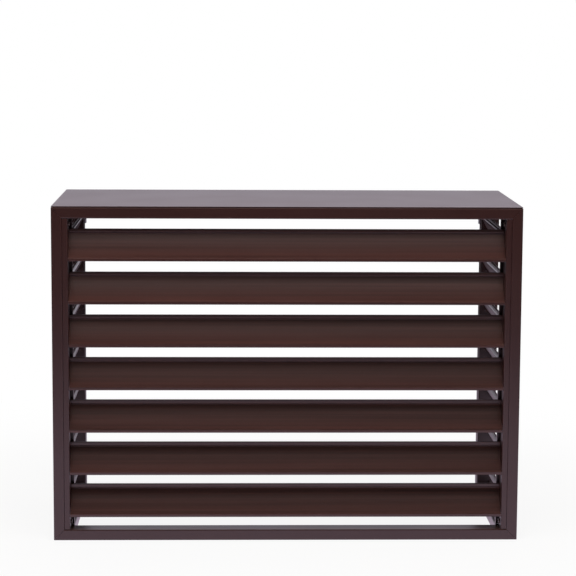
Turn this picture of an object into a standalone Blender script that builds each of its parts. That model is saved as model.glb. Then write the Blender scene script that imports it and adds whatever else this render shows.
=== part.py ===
"""Louvred aluminium screen with a flat lid, three louvred sides and an open back.

The origin is on the ground at the middle of the footprint. X runs to the
right, Y to the back and Z up. Four panels carry the pieces. Inside a panel,
x runs along it, y goes inwards from its outer face and z goes up.
"""

import math

import bmesh
import bpy
from mathutils import Vector

# Overall size in metres
WIDTH = 0.950
DEPTH = 0.400
HEIGHT = 0.686

# Clearances
JOINT_GAP = 0.0003
CUT_OVERRUN = 0.001

# Steepest fold that is still shaded smooth
SMOOTH_ANGLE = math.radians(35)

# Flat lid that lies on the frame
LID_SHEET = 0.0020
LID_SETBACK = 0.0025
LID_CORNER_RADIUS = 0.0030
LID_CORNER_STEPS = 4

# Rectangular tube of the frame
TUBE_FACE = 0.022
TUBE_DEPTH = 0.040
TUBE_WALL = 0.0016
TUBE_RADIUS = 0.0020
TUBE_ARC_STEPS = 3

# Rib under the lid
RIB_WIDTH = 0.040
RIB_HEIGHT = 0.018
RIB_SHEET = 0.0015
RIB_FLANGE = 0.014

# Upright channels that hold the blade ends
CHANNEL_FACE = 0.011
CHANNEL_SHEET = 0.0016
CHANNEL_RADIUS = 0.0020
CHANNEL_ARC_STEPS = 3
CHANNEL_SETBACK = 0.0005
CHANNEL_LIFT = 0.0008

# Louvre blades
BLADE_COUNT = 7
BLADE_HEIGHT = 0.0628
BLADE_DEPTH = 0.0355
BLADE_SHEET = 0.0014
BLADE_SETBACK = 0.0012
BLADE_SAG = 0.0050
BLADE_ARC_STEPS = 8
BLADE_LIFT_SHARE = 0.05
TOP_LIP_HEIGHT = 0.0068
TOP_LIP_FLANGE = 0.0045
TOP_LIP_STEP = 0.0042
TOP_LIP_DROP = 0.0024
BOTTOM_LIP_HEIGHT = 0.0062
BOTTOM_LIP_FLANGE = 0.0060
BOTTOM_LIP_STEP = 0.0018
BOTTOM_LIP_RISE = 0.0010
TAB_START_SHARE = 0.18
TAB_END_SHARE = 0.72
TAB_CORNER_SHARE = 0.34

# Bolts through the channels into the posts
BOLT_LENGTH = 0.016
BOLT_RADIUS = 0.0025
BOLT_HEAD_RADIUS = 0.0050
BOLT_HEAD_HEIGHT = 0.0030
BOLT_HEAD_ROUND = 0.0008
BOLT_TIP_CHAMFER = 0.0005
BOLT_SOCKET_RADIUS = 0.0018
BOLT_SOCKET_DEPTH = 0.0018
BOLT_SIDES = 16
HEX_SIDES = 6

# Brackets inside the mitred front corners
CORNER_ARM = 0.060
CORNER_THICKNESS = 0.005

# Angle brackets under the rear top rail
REAR_BRACKET_LEG = 0.030
REAR_BRACKET_THICKNESS = 0.003
REAR_BRACKET_WIDTH = 0.018

# Plugs in the open lower ends of the rear posts
PLUG_FLANGE = 0.0025
PLUG_BODY = 0.015

# Places worked out from the sizes above
FRAME_HALF_WIDTH = WIDTH / 2
FRAME_HALF_DEPTH = DEPTH / 2
FRAME_TOP = HEIGHT - LID_SHEET - JOINT_GAP
OPENING_BOTTOM = TUBE_FACE
OPENING_TOP = FRAME_TOP - TUBE_FACE
SIDE_FRONT = -FRAME_HALF_DEPTH + TUBE_DEPTH
SIDE_REAR = FRAME_HALF_DEPTH - TUBE_FACE
SIDE_CENTRE = (SIDE_FRONT + SIDE_REAR) / 2
SIDE_LENGTH = SIDE_REAR - SIDE_FRONT
FRONT_OPENING = WIDTH - 2 * TUBE_FACE
BLADE_GAP = (OPENING_TOP - OPENING_BOTTOM - BLADE_COUNT * BLADE_HEIGHT) / (BLADE_COUNT + 1)
QUARTER_TURN = math.pi / 2
HALF_TURN = math.pi

# Colours, roughness and metallic value of each finish
FINISHES = {
    "brown_lid": ((0.062, 0.042, 0.040), 0.34, 0.0),
    "brown_frame": ((0.036, 0.018, 0.014), 0.42, 0.0),
    "brown_blade": ((0.041, 0.018, 0.013), 0.45, 0.0),
    "painted_steel": ((0.050, 0.034, 0.031), 0.32, 0.0),
    "mill_aluminium": ((0.600, 0.605, 0.615), 0.38, 1.0),
    "black_nylon": ((0.012, 0.012, 0.013), 0.55, 0.0),
}


def clear_scene():
    """Removes every object of the open file."""
    for item in list(bpy.data.objects):
        bpy.data.objects.remove(item)


def make_finish(name):
    """Makes one Principled material from the table of finishes."""
    colour, roughness, metallic = FINISHES[name]
    material = bpy.data.materials.new(name)
    material.use_nodes = True
    shader = material.node_tree.nodes["Principled BSDF"]
    shader.inputs["Base Color"].default_value = (*colour, 1.0)
    shader.inputs["Roughness"].default_value = roughness
    shader.inputs["Metallic"].default_value = metallic
    return material


def make_panel(name, x, y, turn):
    """Makes the empty that carries one panel's pieces."""
    panel = bpy.data.objects.new(name, None)
    bpy.context.collection.objects.link(panel)
    panel.location = (x, y, 0)
    panel.rotation_euler = (0, 0, turn)
    return panel


def mesh_from(shape, name):
    """Turns a bmesh into a mesh with its faces pointing out."""
    bmesh.ops.recalc_face_normals(shape, faces=shape.faces)
    mesh = bpy.data.meshes.new(name)
    shape.to_mesh(mesh)
    shape.free()
    return mesh


def place(name, mesh, panel, finish, location=(0, 0, 0), rotation=(0, 0, 0)):
    """Puts a mesh on a panel as a named piece."""
    piece = bpy.data.objects.new(name, mesh)
    bpy.context.collection.objects.link(piece)
    piece.parent = panel
    piece.location = location
    piece.rotation_euler = rotation
    if not mesh.materials:
        mesh.materials.append(finish)
    return piece


def combine(target, tool, operation):
    """Cuts or joins the target with a tool, and removes the tool."""
    modifier = target.modifiers.new(operation.title(), "BOOLEAN")
    modifier.operation = operation
    modifier.solver = "EXACT"
    modifier.object = tool
    bpy.context.view_layer.update()
    graph = bpy.context.evaluated_depsgraph_get()
    result = bpy.data.meshes.new_from_object(target.evaluated_get(graph))
    target.modifiers.remove(modifier)
    target.data = result
    bpy.data.objects.remove(tool)


def arc_corner(before, corner, after, radius, steps):
    """Points of a fillet that replaces one corner of a path."""
    into = (before - corner).normalized()
    away = (after - corner).normalized()
    half_angle = into.angle(away) / 2
    reach = radius / math.tan(half_angle)
    centre = corner + (into + away).normalized() * (radius / math.sin(half_angle))
    start = corner + into * reach - centre
    sweep = math.pi - 2 * half_angle
    turn = math.copysign(sweep, start.cross(corner + away * reach - centre))
    points = []
    for step in range(steps + 1):
        angle = turn * step / steps
        across = Vector((-start.y, start.x))
        points.append(centre + start * math.cos(angle) + across * math.sin(angle))
    return points


def rounded_path(points, radius, steps):
    """An open path with each inner corner filleted."""
    path = [points[0]]
    for before, corner, after in zip(points, points[1:], points[2:]):
        path += arc_corner(before, corner, after, radius, steps)
    return path + [points[-1]]


def rounded_rectangle(low, high, radius, steps):
    """A closed outline with four filleted corners."""
    corners = [Vector(low), Vector((high[0], low[1])), Vector(high), Vector((low[0], high[1]))]
    outline = []
    for index, corner in enumerate(corners):
        following = corners[(index + 1) % len(corners)]
        outline += arc_corner(corners[index - 1], corner, following, radius, steps)
    return outline


def offset_path(path, thickness):
    """Points that lie one sheet thickness to the left of an open path."""
    directions = [(after - before).normalized() for before, after in zip(path, path[1:])]
    sides = [Vector((-line.y, line.x)) for line in directions]
    result = [path[0] + sides[0] * thickness]
    for point, first, second in zip(path[1:], sides, sides[1:]):
        result.append(point + (first + second) * (thickness / (1 + first.dot(second))))
    return result + [path[-1] + sides[-1] * thickness]


def sheet_outline(path, thickness):
    """Closed outline of a bent sheet whose outer face follows the path."""
    return path + offset_path(path, thickness)[::-1]


def extrude_outline(outline, start, sweep):
    """Solid made from an outline given as 3-D points and a sweep."""
    shape = bmesh.new()
    face = shape.faces.new([shape.verts.new(start + point) for point in outline])
    swept = bmesh.ops.extrude_face_region(shape, geom=[face])
    moved = [item for item in swept["geom"] if isinstance(item, bmesh.types.BMVert)]
    bmesh.ops.translate(shape, verts=moved, vec=sweep)
    return shape


def lying(outline):
    """Outline points in the plane of y and z, for a sweep along x."""
    return [Vector((0, point.x, point.y)) for point in outline]


def standing(outline):
    """Outline points in the plane of x and y, for a sweep along z."""
    return [Vector((point.x, point.y, 0)) for point in outline]


def tube_mesh(name, face, depth, length, mitred=False):
    """Tube along x, with its outer face at z = 0 and its front at y = 0.

    A mitred tube loses its own depth in z at both ends, and half a joint gap.
    """
    shape = bmesh.new()
    loops = []
    for inset in (0, TUBE_WALL):
        outline = rounded_rectangle(
            (inset, inset), (depth - inset, face - inset), TUBE_RADIUS - inset, TUBE_ARC_STEPS)
        for end in (-length / 2, length / 2):
            loops.append([shape.verts.new(point + Vector((end, 0, 0))) for point in lying(outline)])
    for first, second in ((0, 1), (1, 3), (3, 2), (2, 0)):
        bridge(shape, loops[first], loops[second])
    if mitred:
        setback = JOINT_GAP / math.sqrt(2)
        for corner in shape.verts:
            corner.co.x -= math.copysign(corner.co.z + setback, corner.co.x)
    return mesh_from(shape, name)


def bridge(shape, first, second):
    """Joins two loops of as many points with a band of faces."""
    count = len(first)
    for index in range(count):
        following = (index + 1) % count
        shape.faces.new((first[index], first[following], second[following], second[index]))


def make_lid(finish):
    """Flat sheet that lies on the frame, a little behind its front face."""
    half = Vector((WIDTH / 2, DEPTH / 2 - LID_SETBACK))
    outline = rounded_rectangle(-half, half, LID_CORNER_RADIUS, LID_CORNER_STEPS)
    start = Vector((0, 0, HEIGHT - LID_SHEET))
    shape = extrude_outline(standing(outline), start, (0, 0, LID_SHEET))
    return place("top_panel", mesh_from(shape, "top_panel"), None, finish)


def make_lid_rib(finish):
    """Hat-shaped rib under the lid, from the front rail to the rear rail."""
    half = RIB_WIDTH / 2
    crown = half - RIB_FLANGE
    web = RIB_SHEET - RIB_HEIGHT
    path = [Vector(point) for point in (
        (half, 0), (crown, 0), (crown, web), (-crown, web), (-crown, 0), (-half, 0))]
    outline = standing(sheet_outline(path, RIB_SHEET))
    length = SIDE_LENGTH - 2 * JOINT_GAP
    points = [Vector((point.x, 0, point.y)) for point in outline]
    shape = extrude_outline(points, Vector((0, SIDE_FRONT + JOINT_GAP, FRAME_TOP)), (0, length, 0))
    return place("top_panel_rib", mesh_from(shape, "top_panel_rib"), None, finish)


def make_front_frame(panel, finish):
    """Two rails and two posts of one tube, mitred at the four corners."""
    middle = FRAME_TOP / 2
    members = (
        ("front_bottom_rail", WIDTH, (0, 0, 0), 0),
        ("front_top_rail", WIDTH, (0, 0, FRAME_TOP), HALF_TURN),
        ("front_post_left", FRAME_TOP, (-FRAME_HALF_WIDTH, 0, middle), QUARTER_TURN),
        ("front_post_right", FRAME_TOP, (FRAME_HALF_WIDTH, 0, middle), -QUARTER_TURN),
    )
    pieces = {}
    for name, length, location, turn in members:
        mesh = tube_mesh(name, TUBE_FACE, TUBE_DEPTH, length, mitred=True)
        pieces[name] = place(name, mesh, panel, finish, location, (0, turn, 0))
    return pieces


def make_corner_bracket(name, panel, finish, location, turn):
    """Angle bracket that lies against the outer walls of two mitred tubes."""
    start = TUBE_WALL + JOINT_GAP
    reach = start + CORNER_ARM
    inner = start + CORNER_THICKNESS
    path = [(start, start), (reach, start), (reach, inner), (inner, inner), (inner, reach), (start, reach)]
    outline = [Vector((x, 0, z)) for x, z in path]
    sweep = (0, TUBE_DEPTH - 2 * start, 0)
    shape = extrude_outline(outline, Vector((0, start, 0)), sweep)
    return place(name, mesh_from(shape, name), panel, finish, location, (0, turn, 0))


def make_corner_brackets(panel, finish):
    """Brackets in the four corners of the front frame."""
    corners = (
        ("bottom_left", -FRAME_HALF_WIDTH, 0, 0),
        ("bottom_right", FRAME_HALF_WIDTH, 0, -QUARTER_TURN),
        ("top_right", FRAME_HALF_WIDTH, FRAME_TOP, HALF_TURN),
        ("top_left", -FRAME_HALF_WIDTH, FRAME_TOP, QUARTER_TURN),
    )
    for corner, x, z, turn in corners:
        make_corner_bracket("front_corner_bracket_" + corner, panel, finish, (x, 0, z), turn)


def channel_mesh(name):
    """Upright channel, its web at x = 0 and its open side towards -x."""
    front = CHANNEL_SETBACK
    back = TUBE_DEPTH - CHANNEL_SETBACK
    points = [Vector(point) for point in (
        (-CHANNEL_FACE, back), (0, back), (0, front), (-CHANNEL_FACE, front))]
    path = rounded_path(points, CHANNEL_RADIUS, CHANNEL_ARC_STEPS)
    outline = standing(sheet_outline(path, -CHANNEL_SHEET))
    bottom = OPENING_BOTTOM + CHANNEL_LIFT
    length = OPENING_TOP - JOINT_GAP - bottom
    shape = extrude_outline(outline, Vector((0, 0, bottom)), (0, 0, length))
    return mesh_from(shape, name)


def channel_reach(opening):
    """Distance from a panel's middle to the face that meets the blades."""
    return opening / 2 - JOINT_GAP - CHANNEL_FACE


def make_channels(names, panel, opening, finish):
    """The channel at the low end of a panel's x, then the one at its high end."""
    reach = channel_reach(opening)
    low = place(names[0], channel_mesh(names[0]), panel, finish, (-reach, 0, 0))
    high = place(names[1], channel_mesh(names[1]), panel, finish,
                 (reach, TUBE_DEPTH, 0), (0, 0, HALF_TURN))
    return low, high


def blade_face():
    """Front face of a blade as a path from its top edge to its bottom edge."""
    lip_back = BLADE_DEPTH - TOP_LIP_STEP
    lip_foot = BLADE_HEIGHT - TOP_LIP_HEIGHT
    head = Vector((BLADE_DEPTH, lip_foot - TOP_LIP_DROP))
    toe = Vector((BOTTOM_LIP_STEP, BOTTOM_LIP_HEIGHT + BOTTOM_LIP_RISE))
    path = [
        Vector((lip_back + TOP_LIP_FLANGE, BLADE_HEIGHT)),
        Vector((lip_back, BLADE_HEIGHT)),
        Vector((lip_back, lip_foot)),
    ]
    path += sagging_arc(head, toe, BLADE_SAG, BLADE_ARC_STEPS)
    path += [
        Vector((0, BOTTOM_LIP_HEIGHT)),
        Vector((0, 0)),
        Vector((BOTTOM_LIP_FLANGE, 0)),
    ]
    return path


def sagging_arc(head, toe, sag, steps):
    """Round arc from head to toe that bows backwards by the sag."""
    chord = toe - head
    half = chord.length / 2
    radius = (half * half + sag * sag) / (2 * sag)
    side = Vector((-chord.y, chord.x)).normalized()
    centre = (head + toe) / 2 - side * (radius - sag)
    half_angle = math.asin(half / radius)
    points = []
    for step in range(steps + 1):
        angle = half_angle * (2 * step / steps - 1)
        points.append(centre + (side * math.cos(angle) + chord.normalized() * math.sin(angle)) * radius)
    return points


def blade_tab():
    """End tab of a blade, from inside its sheet to the corner behind it."""
    head = Vector((BLADE_DEPTH, BLADE_HEIGHT - TOP_LIP_HEIGHT - TOP_LIP_DROP))
    toe = Vector((BOTTOM_LIP_STEP, BOTTOM_LIP_HEIGHT + BOTTOM_LIP_RISE))
    arc = offset_path(sagging_arc(head, toe, BLADE_SAG, BLADE_ARC_STEPS), BLADE_SHEET / 2)
    first = round(TAB_START_SHARE * BLADE_ARC_STEPS)
    last = round(TAB_END_SHARE * BLADE_ARC_STEPS)
    return arc[first:last + 1] + [Vector((BLADE_DEPTH, BLADE_HEIGHT * TAB_CORNER_SHARE))]


def blade_mesh(name, length):
    """Blade along x with a riveting tab at each end."""
    outline = lying(sheet_outline(blade_face(), BLADE_SHEET))
    shape = extrude_outline(outline, Vector((-length / 2, 0, 0)), (length, 0, 0))
    blade = place(name, mesh_from(shape, name), None, None)
    for start in (-length / 2, length / 2 - BLADE_SHEET):
        tab = extrude_outline(lying(blade_tab()), Vector((start, 0, 0)), (BLADE_SHEET, 0, 0))
        combine(blade, place("tab", mesh_from(tab, "tab"), None, None), "UNION")
    mesh = blade.data
    mesh.name = name
    mesh.materials.clear()
    bpy.data.objects.remove(blade)
    return mesh


def blade_bottom(index):
    """Height of a blade's lower edge, counted from the lowest blade."""
    return OPENING_BOTTOM + BLADE_GAP * (1 + BLADE_LIFT_SHARE) + index * (BLADE_HEIGHT + BLADE_GAP)


def make_blades(stem, panel, mesh, finish):
    """One blade for each step of the louvre, numbered from the top down."""
    for index in range(BLADE_COUNT):
        number = BLADE_COUNT - index
        location = (0, BLADE_SETBACK, blade_bottom(index))
        place(stem + str(number), mesh, panel, finish, location)


def bolt_mesh():
    """Button head bolt along x: the head starts at x = 0, the shank goes to -x."""
    profile = [
        (-BOLT_LENGTH, 0),
        (-BOLT_LENGTH, BOLT_RADIUS - BOLT_TIP_CHAMFER),
        (-BOLT_LENGTH + BOLT_TIP_CHAMFER, BOLT_RADIUS),
        (0, BOLT_RADIUS),
        (0, BOLT_HEAD_RADIUS),
        (BOLT_HEAD_HEIGHT - BOLT_HEAD_ROUND, BOLT_HEAD_RADIUS),
        (BOLT_HEAD_HEIGHT, BOLT_HEAD_RADIUS - BOLT_HEAD_ROUND),
        (BOLT_HEAD_HEIGHT, 0),
    ]
    shape = bmesh.new()
    corners = [shape.verts.new((x, 0, radius)) for x, radius in profile]
    edges = [shape.edges.new(pair) for pair in zip(corners, corners[1:])]
    bmesh.ops.spin(shape, geom=corners + edges, cent=(0, 0, 0), axis=(1, 0, 0),
                   angle=2 * math.pi, steps=BOLT_SIDES, use_merge=True)
    bmesh.ops.remove_doubles(shape, verts=shape.verts, dist=JOINT_GAP / BOLT_SIDES)
    bolt = place("bolt", mesh_from(shape, "bolt"), None, None)
    combine(bolt, socket_tool(), "DIFFERENCE")
    mesh = bolt.data
    mesh.materials.clear()
    mesh.shade_smooth()
    mesh.set_sharp_from_angle(angle=SMOOTH_ANGLE)
    bpy.data.objects.remove(bolt)
    return mesh


def rod(name, radius, sides, start, length):
    """Straight rod along x, used as a cutting tool."""
    shape = bmesh.new()
    bmesh.ops.create_cone(shape, cap_ends=True, segments=sides, radius1=radius,
                          radius2=radius, depth=length)
    tool = place(name, mesh_from(shape, name), None, None)
    for corner in tool.data.vertices:
        corner.co = (start + length / 2 + corner.co.z, corner.co.y, -corner.co.x)
    tool.hide_render = True
    tool.display_type = "WIRE"
    return tool


def socket_tool():
    """Hexagon that cuts the key socket of a bolt head."""
    start = BOLT_HEAD_HEIGHT - BOLT_SOCKET_DEPTH
    return rod("socket", BOLT_SOCKET_RADIUS, HEX_SIDES, start, BOLT_SOCKET_DEPTH + CUT_OVERRUN)


def fit_bolt(name, panel, mesh, location, turn, drilled, finish):
    """Places a bolt and drills the pieces that it passes through."""
    bolt = place(name, mesh, panel, finish, location, (0, 0, turn))
    bpy.context.view_layer.update()
    for piece in drilled:
        start = -BOLT_LENGTH - JOINT_GAP
        tool = rod("drill", BOLT_RADIUS + JOINT_GAP, BOLT_SIDES, start, -start + CUT_OVERRUN)
        tool.matrix_world = bolt.matrix_world.copy()
        material = piece.data.materials[0]
        combine(piece, tool, "DIFFERENCE")
        piece.data.materials.clear()
        piece.data.materials.append(material)


def fit_channel_bolts(stem, panel, mesh, opening, inset, pairs, finish):
    """Bolts near the bottom and top of both channels of one panel."""
    heights = (
        ("bottom", (OPENING_BOTTOM + blade_bottom(0)) / 2),
        ("top", (OPENING_TOP + blade_bottom(BLADE_COUNT - 1) + BLADE_HEIGHT) / 2),
    )
    reach = channel_reach(opening) - JOINT_GAP
    for label, sign, drilled in pairs:
        turn = 0 if sign < 0 else HALF_TURN
        for level, height in heights:
            name = stem + label + "_" + level
            fit_bolt(name, panel, mesh, (sign * reach, inset, height), turn, drilled, finish)


def make_rear_frame(panel, finish):
    """Rear posts with their wide faces to the back, and the rail between."""
    foot = PLUG_FLANGE + JOINT_GAP
    length = FRAME_TOP - foot
    middle = foot + length / 2
    posts = {}
    for name, sign in (("rear_post_left", 1), ("rear_post_right", -1)):
        mesh = tube_mesh(name, TUBE_DEPTH, TUBE_FACE, length)
        location = (sign * FRAME_HALF_WIDTH, 0, middle)
        posts[name] = place(name, mesh, panel, finish, location, (0, -sign * QUARTER_TURN, 0))
    span = WIDTH - 2 * (TUBE_DEPTH + JOINT_GAP)
    mesh = tube_mesh("rear_top_rail", TUBE_DEPTH, TUBE_FACE, span)
    place("rear_top_rail", mesh, panel, finish, (0, 0, FRAME_TOP), (0, HALF_TURN, 0))
    return posts


def make_rear_bracket(name, sign, panel, finish):
    """Angle under the rear rail, against the inner face of a rear post."""
    corner_x = FRAME_HALF_WIDTH - TUBE_DEPTH - JOINT_GAP
    corner_z = FRAME_TOP - TUBE_DEPTH - JOINT_GAP
    leg = REAR_BRACKET_LEG
    wall = REAR_BRACKET_THICKNESS
    path = [(0, 0), (0, -leg), (-wall, -leg), (-wall, -wall), (-leg, -wall), (-leg, 0)]
    outline = [Vector((sign * (corner_x + x), 0, corner_z + z)) for x, z in path]
    start = Vector((0, (TUBE_FACE - REAR_BRACKET_WIDTH) / 2, 0))
    shape = extrude_outline(outline, start, (0, REAR_BRACKET_WIDTH, 0))
    return place(name, mesh_from(shape, name), panel, finish)


def make_foot_plug(name, sign, panel, finish):
    """Plug with a flange under the open end of a rear post."""
    shape = bmesh.new()
    flange = rounded_rectangle((0, 0), (TUBE_DEPTH, TUBE_FACE), TUBE_RADIUS, TUBE_ARC_STEPS)
    inset = TUBE_WALL + JOINT_GAP
    body = rounded_rectangle((inset, inset), (TUBE_DEPTH - inset, TUBE_FACE - inset),
                             TUBE_RADIUS - TUBE_WALL, TUBE_ARC_STEPS)
    levels = ((flange, 0), (flange, PLUG_FLANGE), (body, PLUG_FLANGE), (body, PLUG_FLANGE + PLUG_BODY))
    loops = []
    for outline, height in levels:
        loops.append([shape.verts.new((point.x, point.y, height)) for point in outline])
    for lower, upper in zip(loops, loops[1:]):
        bridge(shape, lower, upper)
    shape.faces.new(loops[0])
    shape.faces.new(loops[-1])
    left_edge = FRAME_HALF_WIDTH - TUBE_DEPTH if sign > 0 else -FRAME_HALF_WIDTH
    return place(name, mesh_from(shape, name), panel, finish, (left_edge, 0, 0))


def make_side_rails(side, panel, finish):
    """Lower and upper rail of a side, laid flat between front and rear."""
    length = SIDE_LENGTH - 2 * JOINT_GAP
    mesh = tube_mesh("side_rail_" + side, TUBE_FACE, TUBE_DEPTH, length)
    place("side_bottom_rail_" + side, mesh, panel, finish)
    place("side_top_rail_" + side, mesh, panel, finish, (0, 0, FRAME_TOP), (0, HALF_TURN, 0))


def make_front(finishes, bolt):
    """The front panel: frame, corner brackets, channels, blades and bolts."""
    panel = make_panel("front_panel", 0, -FRAME_HALF_DEPTH, 0)
    frame = make_front_frame(panel, finishes["brown_frame"])
    make_corner_brackets(panel, finishes["mill_aluminium"])
    names = ("front_blade_channel_left", "front_blade_channel_right")
    left, right = make_channels(names, panel, FRONT_OPENING, finishes["brown_frame"])
    length = 2 * (channel_reach(FRONT_OPENING) - JOINT_GAP)
    make_blades("front_blade_", panel, blade_mesh("front_blade", length), finishes["brown_blade"])
    pairs = (
        ("left", -1, (left, frame["front_post_left"])),
        ("right", 1, (right, frame["front_post_right"])),
    )
    fit_channel_bolts("front_channel_bolt_", panel, bolt, FRONT_OPENING, TUBE_DEPTH / 2, pairs,
                      finishes["painted_steel"])
    return frame


def make_rear(finishes):
    """The rear panel: posts, top rail, brackets and foot plugs."""
    panel = make_panel("rear_panel", 0, FRAME_HALF_DEPTH, HALF_TURN)
    posts = make_rear_frame(panel, finishes["brown_frame"])
    for side, sign in (("left", 1), ("right", -1)):
        make_rear_bracket("rear_rail_bracket_" + side, sign, panel, finishes["mill_aluminium"])
        make_foot_plug("rear_foot_plug_" + side, sign, panel, finishes["black_nylon"])
    return posts


def make_side(side, sign, front_post, rear_post, blade, bolt, finishes):
    """One side panel: rails, channels, blades and bolts."""
    panel = make_panel("side_panel_" + side, sign * FRAME_HALF_WIDTH, SIDE_CENTRE, sign * QUARTER_TURN)
    make_side_rails(side, panel, finishes["brown_frame"])
    labels = ("rear", "front") if sign < 0 else ("front", "rear")
    names = ["side_blade_channel_" + label + "_" + side for label in labels]
    low, high = make_channels(names, panel, SIDE_LENGTH, finishes["brown_frame"])
    make_blades("side_blade_" + side + "_", panel, blade, finishes["brown_blade"])
    posts = {"front": front_post, "rear": rear_post}
    pairs = ((labels[0], -1, (low, posts[labels[0]])), (labels[1], 1, (high, posts[labels[1]])))
    fit_channel_bolts("side_channel_bolt_" + side + "_", panel, bolt, SIDE_LENGTH, TUBE_FACE / 2,
                      pairs, finishes["painted_steel"])


def main():
    """Builds the whole screen."""
    clear_scene()
    finishes = {name: make_finish(name) for name in FINISHES}
    bolt = bolt_mesh()
    front = make_front(finishes, bolt)
    rear = make_rear(finishes)
    blade = blade_mesh("side_blade", 2 * (channel_reach(SIDE_LENGTH) - JOINT_GAP))
    for side, sign in (("left", -1), ("right", 1)):
        posts = (front["front_post_" + side], rear["rear_post_" + side])
        make_side(side, sign, *posts, blade, bolt, finishes)
    make_lid(finishes["brown_lid"])
    make_lid_rib(finishes["mill_aluminium"])


main()
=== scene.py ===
"""Looks of the louvred aluminium screen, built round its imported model.

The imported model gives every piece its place. The classes here rebuild the
pieces with real folds and fillets, give them their finishes and set up the
studio and the camera. Lengths are in metres and angles in radians.
"""

import logging
import math
from dataclasses import dataclass, field
from enum import Enum
from typing import Iterable, Sequence

import bmesh
import bpy
from mathutils import Matrix, Vector


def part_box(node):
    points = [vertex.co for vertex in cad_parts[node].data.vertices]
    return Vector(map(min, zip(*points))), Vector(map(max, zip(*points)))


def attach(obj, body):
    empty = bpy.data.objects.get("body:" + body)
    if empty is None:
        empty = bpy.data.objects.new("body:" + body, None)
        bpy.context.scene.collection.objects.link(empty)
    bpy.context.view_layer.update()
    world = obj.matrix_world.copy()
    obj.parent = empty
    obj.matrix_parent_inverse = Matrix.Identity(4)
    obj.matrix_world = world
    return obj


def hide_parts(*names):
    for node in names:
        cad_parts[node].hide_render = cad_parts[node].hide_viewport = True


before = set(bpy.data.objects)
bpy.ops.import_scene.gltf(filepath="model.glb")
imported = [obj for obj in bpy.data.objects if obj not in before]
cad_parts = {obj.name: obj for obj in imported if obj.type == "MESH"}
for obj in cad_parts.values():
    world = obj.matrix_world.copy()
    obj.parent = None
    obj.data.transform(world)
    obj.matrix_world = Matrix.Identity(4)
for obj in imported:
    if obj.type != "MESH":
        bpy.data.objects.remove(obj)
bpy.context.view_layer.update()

Shape = bmesh.types.BMesh
Vert = bmesh.types.BMVert
Edge = bmesh.types.BMEdge
Tree = bpy.types.NodeTree
Socket = bpy.types.NodeSocket
Material = bpy.types.Material

LOG = logging.getLogger("screen")
MM = 0.001
HAIR = 0.001 * MM
BODY = "root"
SMOOTH_ANGLE = math.radians(35)
SHARP_ANGLE = math.radians(60)
IMAGE_SIDE_PX = 576
COAT_IOR = 1.5
NYLON_IOR = 1.53
FULL_WEIGHT = 100
NOISE_RANGE = (0.3, 0.7)
WHOLE = (0.0, 1.0)
WHITE = "#ffffff"
GLEAM_TINT = "#ffe2dd"


class Slot(Enum):
    """Material slots of the record that the pieces take their finish from."""

    LID = "brown_lid"
    FRAME = "brown_frame"
    BLADE = "brown_blade"
    BOLT = "painted_steel"
    ALUMINIUM = "mill_aluminium"
    NYLON = "black_nylon"


class Side(Enum):
    """Panels of the screen, each by its turn about Z from the front panel."""

    FRONT = 0.0
    LEFT = -math.pi / 2
    RIGHT = math.pi / 2

    @property
    def turn(self) -> Matrix:
        """Rotation from the panel's own axes to the frame's."""
        return Matrix.Rotation(self.value, 4, "Z")

    def seat(self, node: str) -> "Seat":
        """Place of a node in this panel.

        Args:
            node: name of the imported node.

        Returns:
            The node's foot at the middle of its outer face, and its size.
        """
        low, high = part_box(node)
        along = self.turn @ Vector((1, 0, 0))
        inward = self.turn @ Vector((0, 1, 0))
        half = (high - low) / 2
        depth = 2 * abs(half.dot(inward))
        foot = (low + high) / 2 - inward * (depth / 2)
        foot.z = low.z
        matrix = Matrix.Translation(foot) @ self.turn
        return Seat(matrix, 2 * abs(half.dot(along)), depth, high.z - low.z)


@dataclass(frozen=True)
class Seat:
    """Where a piece stands in a panel, and how long, deep and tall it is."""

    matrix: Matrix
    length: float
    depth: float
    height: float


def linear(code: str) -> tuple[float, float, float, float]:
    """Turns an sRGB colour into linear values.

    Args:
        code: hex code such as #ffffff.

    Returns:
        Linear red, green and blue, and an alpha of one.
    """
    values = [int(code[index:index + 2], 16) / 255 for index in (1, 3, 5)]
    parts = [
        value / 12.92 if value <= 0.04045 else ((value + 0.055) / 1.055) ** 2.4
        for value in values]
    return (*parts, 1.0)


def add_node(tree: Tree, kind: str, sockets: dict | None = None, **settings) -> bpy.types.Node:
    """Adds a shader node with its settings and links.

    Args:
        tree: node tree that gets the node.
        kind: Blender's name of the node type, without its ShaderNode prefix.
        sockets: value, or output socket to link, for each input by name or number.
        settings: the node's own properties.

    Returns:
        The new node.
    """
    node = tree.nodes.new("ShaderNode" + kind)
    for name, value in settings.items():
        setattr(node, name, value)
    for name, value in (sockets or {}).items():
        if isinstance(value, Socket):
            tree.links.new(value, node.inputs[name])
        else:
            node.inputs[name].default_value = value
    return node


def around(middle: float, reach: float) -> tuple[float, float]:
    """Range that reaches equally far to both sides of a value."""
    return middle - reach, middle + reach


def remap(
    tree: Tree, value: Socket, source: Sequence[float], target: Sequence[float], smooth: bool = False
) -> Socket:
    """Maps a value from one range to another and holds it inside that one.

    Args:
        tree: node tree that gets the node.
        value: the value's socket.
        source: start and end of the value's own range.
        target: what the value becomes at its start and at its end.
        smooth: whether it eases in and out.

    Returns:
        The socket with the mapped value.
    """
    node = add_node(tree, "MapRange", {
        "Value": value, "From Min": source[0], "From Max": source[1],
        "To Min": target[0], "To Max": target[1]})
    if smooth:
        node.interpolation_type = "SMOOTHSTEP"
    return node.outputs[0]


def multiply(tree: Tree, first: Socket, second: Socket) -> Socket:
    """Multiplies two values and returns the product's socket."""
    return add_node(tree, "Math", {0: first, 1: second}, operation="MULTIPLY").outputs[0]


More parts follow.
